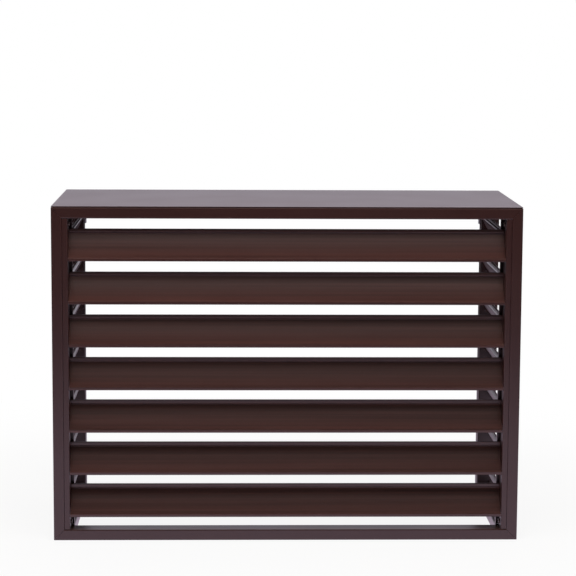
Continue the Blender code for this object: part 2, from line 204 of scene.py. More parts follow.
def mix_values(tree: Tree, share: Socket, first: Socket, second: Socket | float) -> Socket:
    """Mixes two values by a share of the second and returns the mixed one's socket."""
    return add_node(tree, "Mix", {0: share, 2: first, 3: second}, data_type="FLOAT").outputs[0]


def mix_colours(tree: Tree, share: Socket, first: Socket | str, second: Socket | str) -> Socket:
    """Mixes two colours, hex codes or sockets, by a share of the second."""
    values = [linear(colour) if isinstance(colour, str) else colour for colour in (first, second)]
    return add_node(tree, "Mix", {0: share, 6: values[0], 7: values[1]}, data_type="RGBA").outputs[2]


def noise(tree: Tree, place: Socket, grain_mm: float, detail: float, roughness: float) -> Socket:
    """Noise with grains of a real size.

    Args:
        tree: node tree of the material.
        place: object coordinates.
        grain_mm: width of the coarsest grains in millimetres.
        detail: number of finer layers of grains.
        roughness: strength of each finer layer.

    Returns:
        The socket with the noise.
    """
    return add_node(tree, "TexNoise", {
        "Vector": place, "Scale": 1 / (grain_mm * MM), "Detail": detail,
        "Roughness": roughness}).outputs["Fac"]


def drawn_noise(tree: Tree, place: Socket, grains_mm: Sequence[float], roughness: float) -> Socket:
    """Noise that is drawn out into lines.

    Args:
        tree: node tree of the material.
        place: object coordinates.
        grains_mm: size of the coarsest grains along each axis in millimetres.
        roughness: strength of each finer layer.

    Returns:
        The socket with the noise.
    """
    drawn = add_node(tree, "Mapping", {
        "Vector": place, "Scale": [1 / (grain_mm * MM) for grain_mm in grains_mm]})
    return add_node(tree, "TexNoise", {
        "Vector": drawn.outputs[0], "Scale": 1.0, "Detail": 2.0,
        "Roughness": roughness}).outputs["Fac"]


def relief(tree: Tree, height: Socket, strength: float, depth_mm: float) -> Socket:
    """Normal of a surface with a fine relief, so many millimetres deep."""
    return add_node(tree, "Bump", {
        "Height": height, "Strength": strength, "Distance": depth_mm * MM}).outputs["Normal"]


def empty_material(name: str) -> tuple[Material, Tree]:
    """Makes a material without nodes.

    Args:
        name: name of the finish.

    Returns:
        The material and its node tree.
    """
    material = bpy.data.materials.new(name)
    material.use_nodes = True
    material.node_tree.nodes.clear()
    return material, material.node_tree


def set_surface(tree: Tree, sockets: dict) -> None:
    """Makes a Principled shader with these values and links the material's surface."""
    shader = add_node(tree, "BsdfPrincipled", sockets)
    add_node(tree, "OutputMaterial", {"Surface": shader.outputs[0]})


@dataclass(frozen=True)
class PowderCoat:
    """Polyester powder coat on aluminium, sprayed dry and baked.

    It is satin, with a fine orange peel, faint clouds where the film is
    thicker, and on what faces up a trace of dust with a painted sheen. With
    a line share above zero, the die's lines show faintly through it.
    """

    name: str
    colour: str
    thick_film: str
    roughness: float = 0.30
    roughness_spread: float = 0.04
    cloud_mm: float = 140.0
    speck_mm: float = 1.1
    speck_share: float = 0.07
    peel_mm: float = 2.2
    peel_depth_mm: float = 0.012
    peel_strength: float = 0.35
    # Grey that up-facing faces are mixed towards: partly dust, partly a painted sheen.
    dust_and_sheen: str = "#8f8681"
    dust_and_sheen_amount: float = 0.05
    dust_and_sheen_rise: tuple[float, float] = (0.4, 1.0)
    dust_and_sheen_speck: tuple[float, float] = (0.35, 0.75)
    dust_and_sheen_least: float = 0.2
    die_line_mm: float = 3.4
    line_length_mm: float = 900.0
    line_share: float = 0.0

    def material(self) -> Material:
        """Builds the material.

        Returns:
            The finished material.
        """
        material, tree = empty_material(self.name)
        place = add_node(tree, "TexCoord").outputs["Object"]
        cloud = noise(tree, place, self.cloud_mm, detail=3.0, roughness=0.55)
        speck = noise(tree, place, self.speck_mm, detail=2.0, roughness=0.6)
        # The peel is about 1 mm wide on the real coat and is drawn twice as wide to show
        peel = noise(tree, place, self.peel_mm, detail=1.0, roughness=0.4)
        film = mix_colours(tree, cloud, self.colour, self.thick_film)
        grain = remap(tree, speck, NOISE_RANGE, around(1.0, self.speck_share))
        value = multiply(tree, grain, self.die_lines(tree, place))
        toned = add_node(tree, "HueSaturation", {"Value": value, "Color": film}).outputs["Color"]
        roughness_range = around(self.roughness, self.roughness_spread / 2)
        set_surface(tree, {
            # What faces up is painted lighter and greyer here: partly dust, partly a painted sheen.
            "Base Color": mix_colours(tree, self.dust_and_sheen_mask(tree, speck), toned, self.dust_and_sheen),
            "Roughness": remap(tree, cloud, NOISE_RANGE, roughness_range),
            "IOR": COAT_IOR,
            "Normal": relief(tree, peel, self.peel_strength, self.peel_depth_mm)})
        return material

    def die_lines(self, tree: Tree, place: Socket) -> Socket:
        """Factor of the level lines that the die left under the coat.

        Args:
            tree: node tree of the material.
            place: object coordinates.

        Returns:
            The socket with the factor.
        """
        grains_mm = (self.line_length_mm, self.line_length_mm, self.die_line_mm)
        lines = drawn_noise(tree, place, grains_mm, roughness=0.6)
        return remap(tree, lines, NOISE_RANGE, around(1.0, self.line_share))

    def dust_and_sheen_mask(self, tree: Tree, speck: Socket) -> Socket:
        """Mask of the dust and the painted sheen on faces that look up.

        Args:
            tree: node tree of the material.
            speck: noise that breaks the dust and the painted sheen up.

        Returns:
            The socket with the mask.
        """
        normal = add_node(tree, "NewGeometry").outputs["True Normal"]
        upward = add_node(tree, "SeparateXYZ", {0: normal}).outputs["Z"]
        # The more a face looks up, the lighter it is painted: partly dust, partly a painted sheen where
        # light from above falls.
        facing = remap(tree, upward, self.dust_and_sheen_rise, (0.0, self.dust_and_sheen_amount))
        broken = remap(tree, speck, self.dust_and_sheen_speck, (self.dust_and_sheen_least, 1.0))
        return multiply(tree, facing, broken)


@dataclass(frozen=True)
class PaintedSteel:
    """Steel bolt head, stove enamelled in the frame's colour.

    The paint is a little glossier than the coat, and rubbed thin in small spots.
    """

    name: str = "stove_enamelled_steel"
    colour: str = "#3a2926"
    rubbed: str = "#57433e"
    rub_mm: float = 1.4
    rub_range: tuple[float, float] = (0.50, 0.68)
    roughness: float = 0.28
    rubbed_roughness: float = 0.42

    def material(self) -> Material:
        """Builds the material.

        Returns:
            The finished material.
        """
        material, tree = empty_material(self.name)
        place = add_node(tree, "TexCoord").outputs["Object"]
        rub = noise(tree, place, self.rub_mm, detail=3.0, roughness=0.6)
        worn = remap(tree, rub, self.rub_range, WHOLE)
        set_surface(tree, {
            "Base Color": mix_colours(tree, worn, self.colour, self.rubbed),
            "Roughness": remap(tree, rub, NOISE_RANGE, (self.roughness, self.rubbed_roughness)),
            "IOR": COAT_IOR})
        return material


@dataclass(frozen=True)
class MillAluminium:
    """Extruded aluminium as it leaves the die: bare, with fine die lines along it."""

    name: str = "mill_finish_aluminium"
    colour: str = "#c9c9cb"
    oxide: str = "#a9a9ac"
    bloom_mm: float = 22.0
    roughness_range: tuple[float, float] = (0.30, 0.46)
    die_line_mm: float = 0.6
    line_length_mm: float = 60.0
    line_depth_mm: float = 0.01
    line_strength: float = 0.25

    def material(self) -> Material:
        """Builds the material.

        Returns:
            The finished material.
        """
        material, tree = empty_material(self.name)
        place = add_node(tree, "TexCoord").outputs["Object"]
        grains_mm = (self.die_line_mm, self.line_length_mm, self.die_line_mm)
        lines = drawn_noise(tree, place, grains_mm, roughness=0.5)
        bloom = noise(tree, place, self.bloom_mm, detail=3.0, roughness=0.6)
        set_surface(tree, {
            "Base Color": mix_colours(tree, bloom, self.colour, self.oxide),
            "Roughness": remap(tree, lines, NOISE_RANGE, self.roughness_range),
            "Metallic": 1.0,
            "Normal": relief(tree, lines, self.line_strength, self.line_depth_mm)})
        return material


@dataclass(frozen=True)
class MouldedNylon:
    """Injection-moulded black nylon, spark-eroded to a fine matt grain."""

    name: str = "moulded_black_nylon"
    colour: str = "#1b1b1c"
    scuff: str = "#39383a"
    scuff_mm: float = 9.0
    scuff_range: tuple[float, float] = (0.5, 0.75)
    scuff_share: float = 0.8
    roughness: float = 0.55
    grain_mm: float = 0.7
    grain_depth_mm: float = 0.03
    grain_strength: float = 0.4

    def material(self) -> Material:
        """Builds the material.

        Returns:
            The finished material.
        """
        material, tree = empty_material(self.name)
        place = add_node(tree, "TexCoord").outputs["Object"]
        grain = noise(tree, place, self.grain_mm, detail=2.0, roughness=0.6)
        scuff = noise(tree, place, self.scuff_mm, detail=4.0, roughness=0.65)
        worn = remap(tree, scuff, self.scuff_range, (0.0, self.scuff_share))
        set_surface(tree, {
            "Base Color": mix_colours(tree, worn, self.colour, self.scuff),
            "Roughness": self.roughness,
            "IOR": NYLON_IOR,
            "Normal": relief(tree, grain, self.grain_strength, self.grain_depth_mm)})
        return material


@dataclass
class Bench:
    """Turns shapes into dressed pieces of the screen."""

    finishes: dict[Slot, Material]
    made: list[str] = field(default_factory=list)

    def fit(self, name: str, shape: Shape, slot: Slot, nodes: Sequence[str] = ()) -> None:
        """Makes a finished piece that rides on the screen's body.

        Args:
            name: the piece's name.
            shape: its geometry in the frame's axes, freed here.
            slot: material slot that it takes its finish from.
            nodes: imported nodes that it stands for.
        """
        bmesh.ops.dissolve_degenerate(shape, dist=HAIR, edges=shape.edges)
        bmesh.ops.recalc_face_normals(shape, faces=shape.faces)
        mesh = bpy.data.meshes.new(name)
        shape.to_mesh(mesh)
        shape.free()
        mesh.shade_smooth()
        mesh.set_sharp_from_angle(angle=SMOOTH_ANGLE)
        mesh.materials.append(self.finishes[slot])
        piece = bpy.data.objects.new(name, mesh)
        bpy.context.scene.collection.objects.link(piece)
        self.keep_flats_flat(piece)
        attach(piece, BODY)
        if nodes:
            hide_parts(*nodes)
        self.made.append(name)
        LOG.info("%s: %d faces", name, len(mesh.polygons))

    def keep_flats_flat(self, piece: bpy.types.Object) -> None:
        """Weights the smooth shading by face area, so that only the fillets look round.

        Args:
            piece: the piece's object.
        """
        shading = piece.modifiers.new("shading_by_area", "WEIGHTED_NORMAL")
        shading.mode = "FACE_AREA"
        shading.weight = FULL_WEIGHT
        shading.keep_sharp = True

    def dress(self, node: str, slot: Slot) -> None:
        """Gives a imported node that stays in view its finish.

        Args:
            node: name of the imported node.
            slot: material slot of the finish.
        """
        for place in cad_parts[node].material_slots:
            place.material = self.finishes[slot]
        LOG.info("%s keeps its packed shape", node)


def block(low: Vector, high: Vector) -> Shape:
    """Plain box.

    Args:
        low: its lowest corner.
        high: its highest corner.

    Returns:
        The box.
    """
    shape = bmesh.new()
    bmesh.ops.create_cube(shape, size=1)
    bmesh.ops.scale(shape, vec=high - low, verts=shape.verts)
    bmesh.ops.translate(shape, vec=(low + high) / 2, verts=shape.verts)
    return shape


def chain(shape: Shape, corners: Sequence[Vert]) -> list[Edge]:
    """Joins neighbouring vertices of a path with edges and returns the edges."""
    return [shape.edges.new(pair) for pair in zip(corners, corners[1:])]


def sweep(shape: Shape, first: Edge, reach: Vector, outward: Vector) -> None:
    """Extrudes the edges of a path along a vector.

    Args:
        shape: shape that holds the path and nothing else.
        first: an edge of the path.
        reach: vector to extrude along.
        outward: direction that the outer side of the first edge's face looks in.
    """
    swept = bmesh.ops.extrude_edge_only(shape, edges=shape.edges[:])
    moved = [item for item in swept["geom"] if isinstance(item, Vert)]
    bmesh.ops.translate(shape, verts=moved, vec=reach)
    shape.normal_update()
    if first.link_faces[0].normal.dot(outward) < 0:
        bmesh.ops.reverse_faces(shape, faces=shape.faces[:])


def round_edges(shape: Shape, edges: Iterable[Edge], radius: float, segments: int) -> None:
    """Rounds edges with a fillet.

    Args:
        shape: shape that has the edges.
        edges: edges to round.
        radius: radius of the fillet.
        segments: number of its facets.
    """
    bmesh.ops.bevel(
        shape, geom=list(edges), offset=radius, segments=segments, profile=0.5,
        affect="EDGES", material=-1, clamp_overlap=True)


def turned_edges(shape: Shape, angle: float = SHARP_ANGLE) -> list[Edge]:
    """Edges between two faces that meet at more than an angle."""
    return [edge for edge in shape.edges if edge.is_manifold and edge.calc_face_angle() > angle]


def saw(shape: Shape, point: Vector, normal: Vector) -> list[Edge]:
    """Saws a shape off at a plane.

    Args:
        shape: the shape.
        point: a point of the saw cut.
        normal: direction of the side that falls off.

    Returns:
        The edges of the cut.
    """
    everything = shape.verts[:] + shape.edges[:] + shape.faces[:]
    sawn = bmesh.ops.bisect_plane(
        shape, geom=everything, dist=HAIR, plane_co=point, plane_no=normal, clear_outer=True)
    return [item for item in sawn["geom_cut"] if isinstance(item, Edge)]


def merge(target: Shape, part: Shape) -> None:
    """Adds a part to a shape.

    Args:
        target: shape that gets the part.
        part: the part, freed here.
    """
    carrier = bpy.data.meshes.new("carrier")
    part.to_mesh(carrier)
    part.free()
    target.from_mesh(carrier)
    bpy.data.meshes.remove(carrier)


@dataclass(frozen=True)
class FoldedSheet:
    """Sheet that is bent along straight folds and broken smooth at its rims."""

    thickness: float
    fold_radius: float
    fold_segments: int = 6
    rim_radius: float = 0.25 * MM
    rim_segments: int = 2

    def strip(self, path: Sequence[Vector], reach: Vector, outward: Vector) -> Shape:
        """Folds a strip of sheet.

        Args:
            path: corners of the outer face across the folds.
            reach: vector along the folds.
            outward: direction that the first part of the outer face looks in.

        Returns:
            The finished strip.
        """
        shape = bmesh.new()
        edges = chain(shape, [shape.verts.new(point) for point in path])
        sweep(shape, edges[0], reach, outward)
        self.bend(shape)
        self.thicken(shape)
        return shape

    def bend(self, shape: Shape) -> None:
        """Rounds the folds of an open strip."""
        round_edges(shape, turned_edges(shape, SMOOTH_ANGLE), self.fold_radius, self.fold_segments)

    def thicken(self, shape: Shape) -> None:
        """Gives an open strip its thickness and breaks its rims.

        Args:
            shape: the strip.
        """
        bmesh.ops.solidify(shape, geom=shape.faces[:], thickness=self.thickness)
        bmesh.ops.recalc_face_normals(shape, faces=shape.faces)
        round_edges(shape, turned_edges(shape), self.rim_radius, self.rim_segments)


@dataclass(frozen=True)
class Tube:
    """Rectangular aluminium tube with rounded corners."""

    wall: float = 1.6 * MM
    radius: float = 2.0 * MM
    segments: int = 6
    end_break: float = 0.12 * MM

    def shell(self, node: str, spare: float = 0.0) -> Shape:
        """Open tube that fills a node's box.

        Args:
            node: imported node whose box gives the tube's place and size.
            spare: extra length at each end, to be cut off again.

        Returns:
            The tube, with its wall thickness.
        """
        low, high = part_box(node)
        size = high - low
        axis = max(range(3), key=lambda index: size[index])
        extra = Vector()
        extra[axis] = spare
        shape = block(low - extra, high + extra)
        shape.normal_update()
        ends = [face for face in shape.faces if abs(face.normal[axis]) > 0.5]
        bmesh.ops.delete(shape, geom=ends, context="FACES_ONLY")
        corners = [edge for edge in shape.edges if edge.is_manifold]
        round_edges(shape, corners, self.radius, self.segments)
        bmesh.ops.solidify(shape, geom=shape.faces[:], thickness=self.wall)
        return shape

    def cut(self, shape: Shape, point: Vector, normal: Vector) -> None:
        """Saws a tube off at a plane and closes its wall there.

        Args:
            shape: the tube.
            point: a point of the saw cut.
            normal: direction of the side that falls off.
        """
        bmesh.ops.bridge_loops(shape, edges=saw(shape, point, normal))

    def break_ends(self, shape: Shape) -> None:
        """Takes the burr off the sawn ends."""
        bmesh.ops.recalc_face_normals(shape, faces=shape.faces)
        round_edges(shape, turned_edges(shape), self.end_break, segments=1)


@dataclass
class Lid:
    """Flat lid that lies on the frame, and the rib under it."""

    bench: Bench
    corner_radius: float = 3.0 * MM
    corner_segments: int = 8
    top_break: float = 0.3 * MM
    roll_over: float = 1.5 * MM
    edge_segments: int = 5
    rib: FoldedSheet = FoldedSheet(1.5 * MM, 2.0 * MM)
    rib_flange: float = 14 * MM

    def build(self) -> None:
        """Builds the lid and the rib."""
        self.bench.fit("lid", self.plate(), Slot.LID, ["top_panel"])
        self.bench.fit("lid_rib", self.hat_rib(), Slot.ALUMINIUM, ["top_panel_rib"])

    def plate(self) -> Shape:
        """Lid's sheet, sheared from above, so that its lower edge is rolled over.

        Returns:
            The sheet.
        """
        low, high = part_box("top_panel")
        shape = block(low, high)
        corners = [edge for edge in shape.edges if abs(edge.verts[0].co.z - edge.verts[1].co.z) > HAIR]
        round_edges(shape, corners, self.corner_radius, self.corner_segments)
        for level, radius in ((low.z, self.roll_over), (high.z, self.top_break)):
            rim = [
                edge for edge in turned_edges(shape)
                if all(abs(corner.co.z - level) < HAIR for corner in edge.verts)]
            round_edges(shape, rim, radius, self.edge_segments)
        return shape

    def hat_rib(self) -> Shape:
        """Hat-shaped rib, from the front rail to the rear rail.

        Returns:
            The rib.
        """
        low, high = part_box("top_panel_rib")
        crown = high.x - self.rib_flange
        web = low.z + self.rib.thickness
        section = (
            (high.x, high.z), (crown, high.z), (crown, web),
            (-crown, web), (-crown, high.z), (low.x, high.z))
        path = [Vector((x, low.y, z)) for x, z in section]
        return self.rib.strip(path, Vector((0, high.y - low.y, 0)), Vector((0, 0, 1)))


@dataclass
class FrontFrame:
    """Two rails and two posts, mitred at the four corners."""

    bench: Bench
    tube: Tube = Tube()
    spare: float = 5 * MM

    def build(self) -> None:
        """Builds the four members and finishes the hidden corner brackets."""
        members = {
            "front_bottom_rail": Vector((0, 0, -1)),
            "front_top_rail": Vector((0, 0, 1)),
            "front_post_left": Vector((-1, 0, 0)),
            "front_post_right": Vector((1, 0, 0)),
        }
        for node, outward in members.items():
            self.bench.fit(node + "_tube", self.member(node, outward), Slot.FRAME, [node])
        for level in ("bottom", "top"):
            for side in ("left", "right"):
                self.bench.dress(f"front_corner_bracket_{level}_{side}", Slot.ALUMINIUM)

    def member(self, node: str, outward: Vector) -> Shape:
        """One member, sawn off at a mitre at both ends.

        Args:
            node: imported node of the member.
            outward: direction from the frame's middle to the member.

        Returns:
            The mitred tube.
        """
        low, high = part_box(node)
        half = (high - low) / 2
        along = Vector((abs(outward.z), 0, abs(outward.x)))
        outer = (low + high) / 2 + outward * abs(half.dot(outward))
        shape = self.tube.shell(node, self.spare)
        for end in (-1, 1):
            tip = outer + along * (end * half.dot(along))
            self.tube.cut(shape, tip, along * end - outward)
        self.tube.break_ends(shape)
        return shape


@dataclass
class SideFrame:
    """Side rails, rear posts and rear rail with their brackets and plugs."""

    bench: Bench
    tube: Tube = Tube()
    bracket: FoldedSheet = FoldedSheet(3.0 * MM, 3.0 * MM)

    def build(self) -> None:
        """Builds the tubes and brackets, and finishes the plugs."""
        nodes = ["rear_top_rail"]
        for side in ("left", "right"):
            nodes += [f"side_bottom_rail_{side}", f"side_top_rail_{side}", f"rear_post_{side}"]
        for node in nodes:
            shape = self.tube.shell(node)
            self.tube.break_ends(shape)
            self.bench.fit(node + "_tube", shape, Slot.FRAME, [node])
        for side, sign in (("left", -1), ("right", 1)):
            node = "rear_rail_bracket_" + side
            self.bench.fit("rear_angle_" + side, self.angle(node, sign), Slot.ALUMINIUM, [node])
            self.bench.dress("rear_foot_plug_" + side, Slot.NYLON)

    def angle(self, node: str, sign: int) -> Shape:
        """Angle bracket with its corner up and towards the post.

        Args:
            node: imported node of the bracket.
            sign: -1 at the left post and 1 at the right.

        Returns:
            The bracket.
        """
        low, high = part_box(node)
        outer, inner = (high.x, low.x) if sign > 0 else (low.x, high.x)
        section = ((outer, low.z), (outer, high.z), (inner, high.z))
        path = [Vector((x, low.y, z)) for x, z in section]
        return self.bracket.strip(path, Vector((0, high.y - low.y, 0)), Vector((sign, 0, 0)))


@dataclass(frozen=True)
class BladeSection:
    """Section of a louvre blade: a concave face between two stepped lips."""

    depth: float = 35.5 * MM
    height: float = 62.8 * MM
    sag: float = 5.0 * MM
    top_lip_height: float = 6.8 * MM
    top_lip_flange: float = 4.5 * MM
    top_lip_step: float = 4.2 * MM
    top_lip_drop: float = 2.4 * MM
    bottom_lip_height: float = 6.2 * MM
    bottom_lip_flange: float = 6.0 * MM
    bottom_lip_step: float = 1.8 * MM
    bottom_lip_rise: float = 1.0 * MM
    face_steps: int = 28

    @property
    def head(self) -> Vector:
        """Upper end of the concave face."""
        return Vector((0, self.depth, self.height - self.top_lip_height - self.top_lip_drop))

    @property
    def toe(self) -> Vector:
        """Lower end of the concave face."""
        return Vector((0, self.bottom_lip_step, self.bottom_lip_height + self.bottom_lip_rise))

    def concave(self, shape: Shape) -> list[Vert]:
        """Draws the concave face as an arc.

        Args:
            shape: shape to draw it in.

        Returns:
            The arc's vertices, from head to toe.
        """
        chord = self.toe - self.head
        half = chord.length / 2
        radius = (half * half + self.sag * self.sag) / (2 * self.sag)
        rear = Vector((0, -chord.z, chord.y)).normalized()
        centre = (self.head + self.toe) / 2 - rear * (radius - self.sag)
        start = shape.verts.new(self.head)
        before = len(shape.verts)
        bmesh.ops.spin(
            shape, geom=[start], cent=centre, axis=(1, 0, 0), angle=-2 * math.asin(half / radius),
            steps=self.face_steps)
        shape.verts.ensure_lookup_table()
        return [start] + shape.verts[before:]

    def front(self, shape: Shape) -> Edge:
        """Draws the whole outer face across the blade.

        Args:
            shape: shape to draw it in.

        Returns:
            Its topmost edge.
        """
        lip_back = self.depth - self.top_lip_step
        lip_foot = self.height - self.top_lip_height
        arc = self.concave(shape)
        flange = lip_back + self.top_lip_flange
        above = [(flange, self.height), (lip_back, self.height), (lip_back, lip_foot)]
        below = [(0, self.bottom_lip_height), (0, 0), (self.bottom_lip_flange, 0)]
        upper = chain(shape, [shape.verts.new((0, y, z)) for y, z in above] + arc[:1])
        chain(shape, arc[-1:] + [shape.verts.new((0, y, z)) for y, z in below])
        return upper[0]


@dataclass
class LouvrePanel:
    """Two upright channels and the blades riveted between them."""

    bench: Bench
    side: Side
    blade_stem: str
    channels: tuple[str, str]
    blade_count: int = 7
    section: BladeSection = BladeSection()
    blade_sheet: FoldedSheet = FoldedSheet(1.4 * MM, 1.1 * MM, 4)
    channel_sheet: FoldedSheet = FoldedSheet(1.6 * MM, 2.4 * MM)
    tab_start_share: float = 0.18
    tab_end_share: float = 0.72
    tab_corner_share: float = 0.34
    tab_corner_radius: float = 5.0 * MM
    rivet_radius: float = 3.2 * MM
    rivet_height: float = 1.2 * MM
    rivet_sides: int = 20
    rivet_rings: int = 12

    def build(self) -> None:
        """Builds the channels, the blades and their rivets."""
        for node, opens in zip(self.channels, (-1, 1)):
            self.bench.fit(node + "_fold", self.channel(node, opens), Slot.FRAME, [node])
        for number in range(1, self.blade_count + 1):
            node = self.blade_stem + str(number)
            self.bench.fit(node + "_louvre", self.blade(node), Slot.BLADE, [node])
        self.bench.fit(self.blade_stem + "rivets", self.rivets(), Slot.BLADE)

    def channel(self, node: str, opens: int) -> Shape:
        """Channel with its web to the blades.

        Args:
            node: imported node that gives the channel's place and size.
            opens: direction along the panel that the open side looks in.

        Returns:
            The folded channel.
        """
        seat = self.side.seat(node)
        web = -opens * seat.length / 2
        section = ((-web, seat.depth), (web, seat.depth), (web, 0), (-web, 0))
        path = [Vector((x, y, 0)) for x, y in section]
        shape = self.channel_sheet.strip(path, Vector((0, 0, seat.height)), Vector((0, 1, 0)))
        bmesh.ops.transform(shape, matrix=seat.matrix, verts=shape.verts)
        return shape

    def blade(self, node: str) -> Shape:
        """One blade with a tab at each end.

        Args:
            node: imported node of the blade.

        Returns:
            The blade.
        """
        seat = self.side.seat(node)
        shape = bmesh.new()
        first = self.section.front(shape)
        sweep(shape, first, Vector((seat.length, 0, 0)), Vector((0, 0, 1)))
        self.blade_sheet.bend(shape)
        self.blade_sheet.thicken(shape)
        bmesh.ops.translate(shape, vec=(-seat.length / 2, 0, 0), verts=shape.verts)
        for end in (-1, 1):
            self.add_tab(shape, end * seat.length / 2, end)
        bmesh.ops.transform(shape, matrix=seat.matrix, verts=shape.verts)
        return shape

    def add_tab(self, shape: Shape, place: float, end: int) -> None:
        """Adds the tab that closes one end of a blade behind its face.

        Args:
            shape: the blade, in the panel's axes.
            place: where the blade ends.
            end: -1 at the low end and 1 at the high end.
        """
        part = bmesh.new()
        arc = self.section.concave(part)
        first = round(self.tab_start_share * self.section.face_steps)
        last = round(self.tab_end_share * self.section.face_steps)
        bmesh.ops.delete(part, geom=arc[:first] + arc[last + 1:], context="VERTS")
        corner = part.verts.new(self.tab_corner)
        part.faces.new(arc[first:last + 1] + [corner])
        bmesh.ops.bevel(
            part, geom=[corner], offset=self.tab_corner_radius, segments=self.blade_sheet.fold_segments,
            profile=0.5, affect="VERTICES", material=-1)
        bmesh.ops.translate(part, vec=(place, self.blade_sheet.thickness / 2, 0), verts=part.verts)
        part.normal_update()
        if sum(face.normal.x for face in part.faces) * end < 0:
            bmesh.ops.reverse_faces(part, faces=part.faces[:])
        self.blade_sheet.thicken(part)
        merge(shape, part)

    @property
    def tab_corner(self) -> Vector:
        """Corner of a tab behind the blade's face."""
        return Vector((0, self.section.depth, self.section.height * self.tab_corner_share))

    def rivets(self) -> Shape:
        """Domed rivet heads on the inner faces of all the tabs of the panel.

        Returns:
            The heads, in one shape.
        """
        shape = bmesh.new()
        middle = (self.section.head + self.section.toe) / 2
        for number in range(1, self.blade_count + 1):
            seat = self.side.seat(self.blade_stem + str(number))
            for end in (-1, 1):
                inner = end * (seat.length / 2 - self.blade_sheet.thickness)
                centre = (middle + self.tab_corner) / 2 + Vector((inner, 0, 0))
                dome = self.dome(-end)
                bmesh.ops.translate(dome, vec=centre, verts=dome.verts)
                bmesh.ops.transform(dome, matrix=seat.matrix, verts=dome.verts)
                merge(shape, dome)
        return shape

    def dome(self, facing: int) -> Shape:
        """Domed rivet head.

        Args:
            facing: 1 for a head that looks along x, and -1 for one against it.

        Returns:
            The head, with the middle of its base at the origin.
        """
        shape = bmesh.new()
        bmesh.ops.create_uvsphere(
            shape, u_segments=self.rivet_sides, v_segments=self.rivet_rings, radius=self.rivet_radius)
        saw(shape, Vector(), Vector((-facing, 0, 0)))
        bmesh.ops.holes_fill(shape, edges=shape.edges[:])
        bmesh.ops.scale(shape, vec=(self.rivet_height / self.rivet_radius, 1, 1), verts=shape.verts)
        return shape


PANELS = (
    (Side.FRONT, "front_blade_", ("front_blade_channel_left", "front_blade_channel_right")),
    (Side.LEFT, "side_blade_left_", (
        "side_blade_channel_rear_left", "side_blade_channel_front_left")),
    (Side.RIGHT, "side_blade_right_", (
        "side_blade_channel_front_right", "side_blade_channel_rear_right")),
)


@dataclass
class ChannelBolts:
    """Button head bolts with a key socket, through the channels into the posts."""

    bench: Bench
    head_radius: float = 5.0 * MM
    head_height: float = 3.0 * MM
    head_wall: float = 0.9 * MM
    crown_radius: float = 3.2 * MM
    shank_radius: float = 2.5 * MM
    socket_radius: float = 1.75 * MM
    socket_depth: float = 1.8 * MM
    socket_sides: int = 6
    sides: int = 24
    crown_steps: int = 5

    def build(self) -> None:
        """Builds the bolts of the three panels."""
        for level in ("bottom", "top"):
            for label, direction in (("left", Vector((1, 0, 0))), ("right", Vector((-1, 0, 0)))):
                self.fit(f"front_channel_bolt_{label}_{level}", direction)
            for side in ("left", "right"):
                for label, direction in (("front", Vector((0, 1, 0))), ("rear", Vector((0, -1, 0)))):
                    self.fit(f"side_channel_bolt_{side}_{label}_{level}", direction)

    def fit(self, node: str, direction: Vector) -> None:
        """Fits one bolt.

        Args:
            node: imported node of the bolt.
            direction: direction that its head looks in.
        """
        low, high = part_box(node)
        half = (high - low) / 2
        tip = (low + high) / 2 - direction * abs(half.dot(direction))
        shape = self.bolt(2 * abs(half.dot(direction)))
        turn = Vector((0, 0, 1)).rotation_difference(direction).to_matrix().to_4x4()
        bmesh.ops.transform(shape, matrix=Matrix.Translation(tip) @ turn, verts=shape.verts)
        self.bench.fit(node + "_button_head", shape, Slot.BOLT, [node])

    def bolt(self, length: float) -> Shape:
        """Bolt along z with its tip at the origin.

        Args:
            length: length with the head.

        Returns:
            The bolt.
        """
        shape = bmesh.new()
        seat = length - self.head_height
        profile = [(0, 0), (self.shank_radius, 0), (self.shank_radius, seat), (self.head_radius, seat)]
        profile += self.crown(seat)
        corners = [shape.verts.new((radius, 0, z)) for radius, z in profile]
        edges = chain(shape, corners)
        bmesh.ops.spin(
            shape, geom=corners + edges, cent=(0, 0, 0), axis=(0, 0, 1), angle=2 * math.pi,
            steps=self.sides, use_merge=True)
        bmesh.ops.remove_doubles(shape, verts=shape.verts, dist=HAIR)
        self.cut_socket(shape, length)
        return shape

    def crown(self, seat: float) -> list[tuple[float, float]]:
        """Outline of the domed head, from its wall to the rim of its flat.

        Args:
            seat: height of the head's underside.

        Returns:
            Radius and height of each point.
        """
        start = seat + self.head_wall
        rise = self.head_height - self.head_wall
        points = []
        for step in range(self.crown_steps + 1):
            angle = math.pi / 2 * step / self.crown_steps
            reach = self.crown_radius + (self.head_radius - self.crown_radius) * math.cos(angle)
            points.append((reach, start + rise * math.sin(angle)))
        return points

    def cut_socket(self, shape: Shape, top: float) -> None:
        """Closes the head with a flat that has a hexagonal key socket.

        Args:
            shape: the bolt, open at the top.
            top: height of the flat.
        """
        rim = [edge for edge in shape.edges if edge.is_boundary]
        made = bmesh.ops.create_circle(
            shape, segments=self.socket_sides, radius=self.socket_radius,
            matrix=Matrix.Translation((0, 0, top)))
        hexagon = list({edge for corner in made["verts"] for edge in corner.link_edges})
        bmesh.ops.subdivide_edges(shape, edges=hexagon, cuts=self.sides // self.socket_sides - 1)
        key = [edge for edge in shape.edges if edge.is_wire]
        bmesh.ops.bridge_loops(shape, edges=rim + key)
        wall = bmesh.ops.extrude_edge_only(shape, edges=key)
        floor = [item for item in wall["geom"] if isinstance(item, Vert)]
        bmesh.ops.translate(shape, verts=floor, vec=(0, 0, -self.socket_depth))
        bmesh.ops.holes_fill(shape, edges=[edge for edge in shape.edges if edge.is_boundary])


